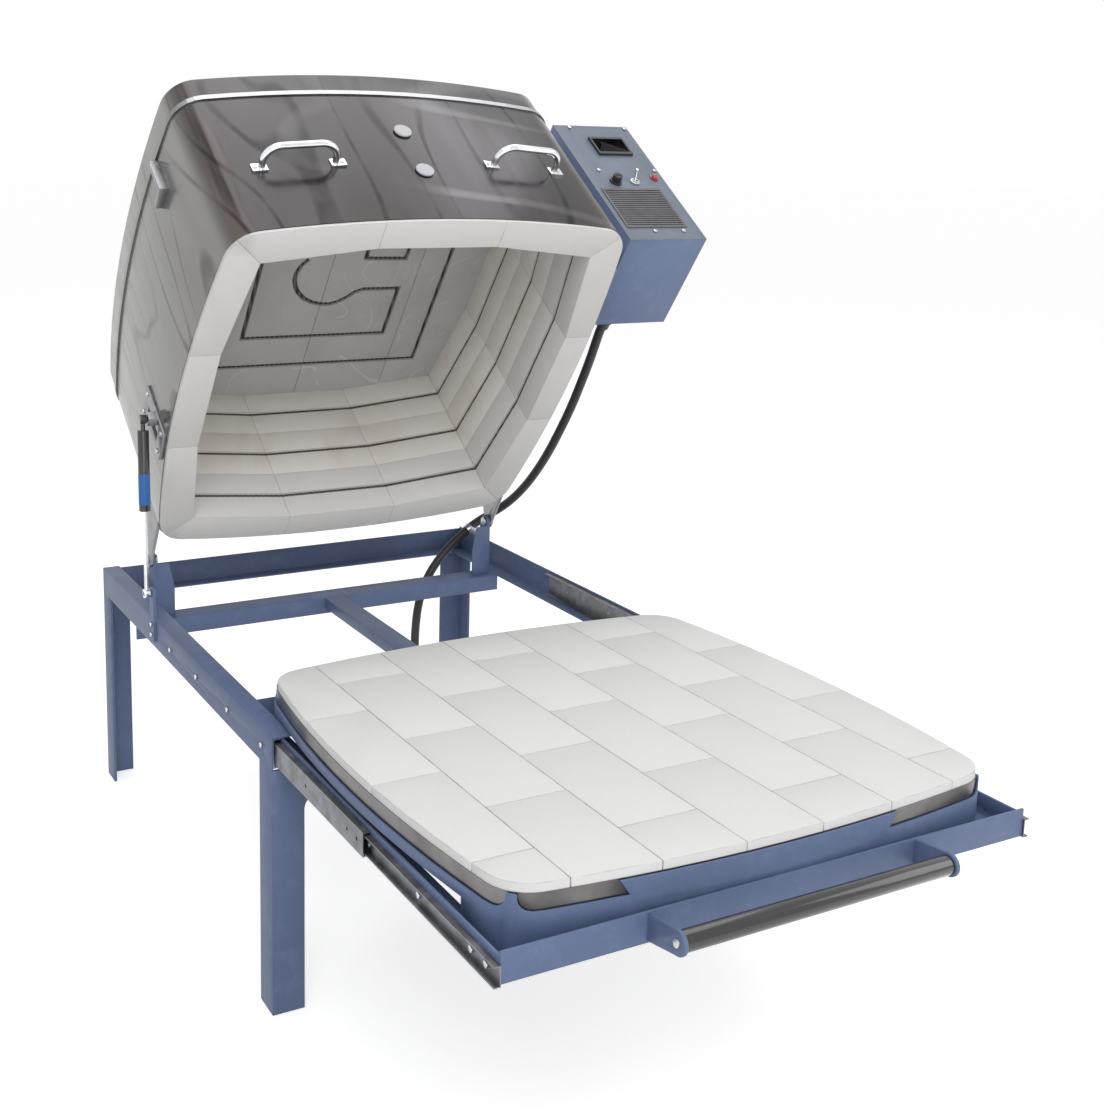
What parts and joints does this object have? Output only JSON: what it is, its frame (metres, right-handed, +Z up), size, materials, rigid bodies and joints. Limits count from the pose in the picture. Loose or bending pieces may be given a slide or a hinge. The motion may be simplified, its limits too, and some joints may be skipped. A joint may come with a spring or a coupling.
{
  "type": "bead annealing kiln",
  "caption": "Tip-up annealing kiln: a steel-jacketed brick bell on rear hinges over a firebrick hearth that pulls out on slides from a blue angle stand.",
  "frame": {"origin": "middle of the bounding box of the kiln and its supply cord's fixed parts, on the floor", "axes": "+X to the right seen from the pull grip, +Y from the pull grip to the hinges, +Z up"},
  "size_m": [1.0116, 1.7462, 1.3925],
  "materials": {
    "blue_paint": "satin slate blue enamel",
    "box_paint": "satin slate blue enamel",
    "mirror_steel": "mirror-polished stainless sheet with wavy reflections",
    "band_steel": "bright stainless strip",
    "slide_steel": "dull plated steel, slightly oily",
    "zinc": "zinc-plated fasteners",
    "chrome": "bright chrome",
    "rim_brick": "soft insulating firebrick, off-white, porous",
    "cavity_brick": "soft insulating firebrick, cream",
    "roof_slab": "grey insulating slab",
    "blanket": "white fibre blanket",
    "element": "oxidised resistance wire",
    "grip_black": "glossy black tube",
    "black_plastic": "black moulded plastic",
    "dark_window": "dark display window",
    "red_lamp": "red lens",
    "cord_rubber": "black cord jacket",
    "strut_black": "black enamel",
    "grille_dark": "dark louvre"
  },
  "bodies": {
    "stand": {"legs": "blue_paint", "side_rail_left": "blue_paint", "side_rail_right": "blue_paint", "back_rails": "blue_paint", "front_rail": "blue_paint", "centre_rail": "blue_paint", "hinge_posts": "blue_paint", "hinge_pins": "zinc", "strut_lower_bracket": "blue_paint", "slide_outers": "slide_steel", "frame_bolts": "zinc", "cord_upper": "cord_rubber", "cord_lower": "cord_rubber", "cord_coil": "cord_rubber", "cord_plug": "cord_rubber"},
    "bed": {"hearth_bricks": "rim_brick", "hearth_band": "band_steel", "pan_plate": "slide_steel", "cradle_ring": "blue_paint", "pan_bearers": "blue_paint", "tray_end_bars": "blue_paint", "tray_side_bars": "blue_paint", "corner_plate": "blue_paint", "pull_ears": "blue_paint", "pull_grip": "grip_black", "slide_inners": "slide_steel", "tray_screws": "zinc"},
    "bell": {"jacket": "mirror_steel", "seam_trim": "band_steel", "roof_cover": "mirror_steel", "rim_course": "rim_brick", "upper_courses": "cavity_brick", "wall_blanket": "blanket", "roof_slabs": "roof_slab", "elements": "element", "thermocouple": "zinc", "hinge_arms": "zinc", "side_brackets": "zinc", "handles": "chrome", "bell_screws": "zinc", "box_brackets": "box_paint", "control_box": "box_paint", "control_panel": "box_paint", "display_bezel": "black_plastic", "display_window": "dark_window", "louvre_grille": "grille_dark", "switch_body": "zinc", "fuse_holder": "black_plastic", "pilot_lamp": "red_lamp", "relay": "black_plastic", "cord_gland": "black_plastic"},
    "slide_mid_left": {"slide_middle_left": "slide_steel"},
    "slide_mid_right": {"slide_middle_right": "slide_steel"},
    "upper_plug": {"plug_upper": "cavity_brick"},
    "lower_plug": {"plug_lower": "cavity_brick"},
    "toggle": {"toggle_lever": "chrome"},
    "fuse_knob": {"fuse_cap": "black_plastic"},
    "strut_lower": {"strut_rod": "chrome"},
    "strut_upper": {"strut_cylinder": "strut_black"}
  },
  "joints": [
    {"name": "bell_hinge", "type": "hinge", "parent": "stand", "child": "bell", "pos_m": [-0.07925, 0.58589, 0.497], "axis": [1, 0, 0], "range_deg": [0, 53.5], "deforming": ["cord_upper"]},
    {"name": "bed_slide", "type": "slide", "parent": "stand", "child": "bed", "axis": [0, 1, 0], "range_m": [0, 0.559]},
    {"name": "slide_middle_left_run", "type": "slide", "parent": "stand", "child": "slide_mid_left", "axis": [0, 1, 0], "range_m": [0, 0.2795]},
    {"name": "slide_middle_right_run", "type": "slide", "parent": "stand", "child": "slide_mid_right", "axis": [0, 1, 0], "range_m": [0, 0.2795]},
    {"name": "strut_swing", "type": "hinge", "parent": "stand", "child": "strut_lower", "pos_m": [-0.49575, 0.42089, 0.484], "axis": [1, 0, 0], "range_deg": [0, 71.05]},
    {"name": "strut_slide", "type": "slide", "parent": "strut_lower", "child": "strut_upper", "axis": [0, 0.01, 0.9999], "range_m": [-0.12998, 0]},
    {"name": "upper_plug_pull", "type": "slide", "parent": "bell", "child": "upper_plug", "axis": [0, -0.5948, 0.8039], "range_m": [0, 0.07]},
    {"name": "lower_plug_pull", "type": "slide", "parent": "bell", "child": "lower_plug", "axis": [0, -0.5948, 0.8039], "range_m": [0, 0.07]},
    {"name": "toggle_tilt", "type": "hinge", "parent": "bell", "child": "toggle", "pos_m": [0.43325, 0.3067, 1.21222], "axis": [1, 0, 0], "range_deg": [0, 44]},
    {"name": "fuse_turn", "type": "hinge", "parent": "bell", "child": "fuse_knob", "pos_m": [0.38925, 0.3067, 1.21222], "axis": [0, -0.5948, 0.8039], "range_deg": [-90, 0]}
  ],
  "couplings": [
    {"joint": "slide_middle_left_run", "follows": "bed_slide", "ratio": 0.5},
    {"joint": "slide_middle_right_run", "follows": "bed_slide", "ratio": 0.5},
    {"joint": "strut_swing", "follows": "bell_hinge", "ratio": 1.328},
    {"joint": "strut_slide", "follows": "bell_hinge", "m_per_rad": -0.13919}
  ]
}
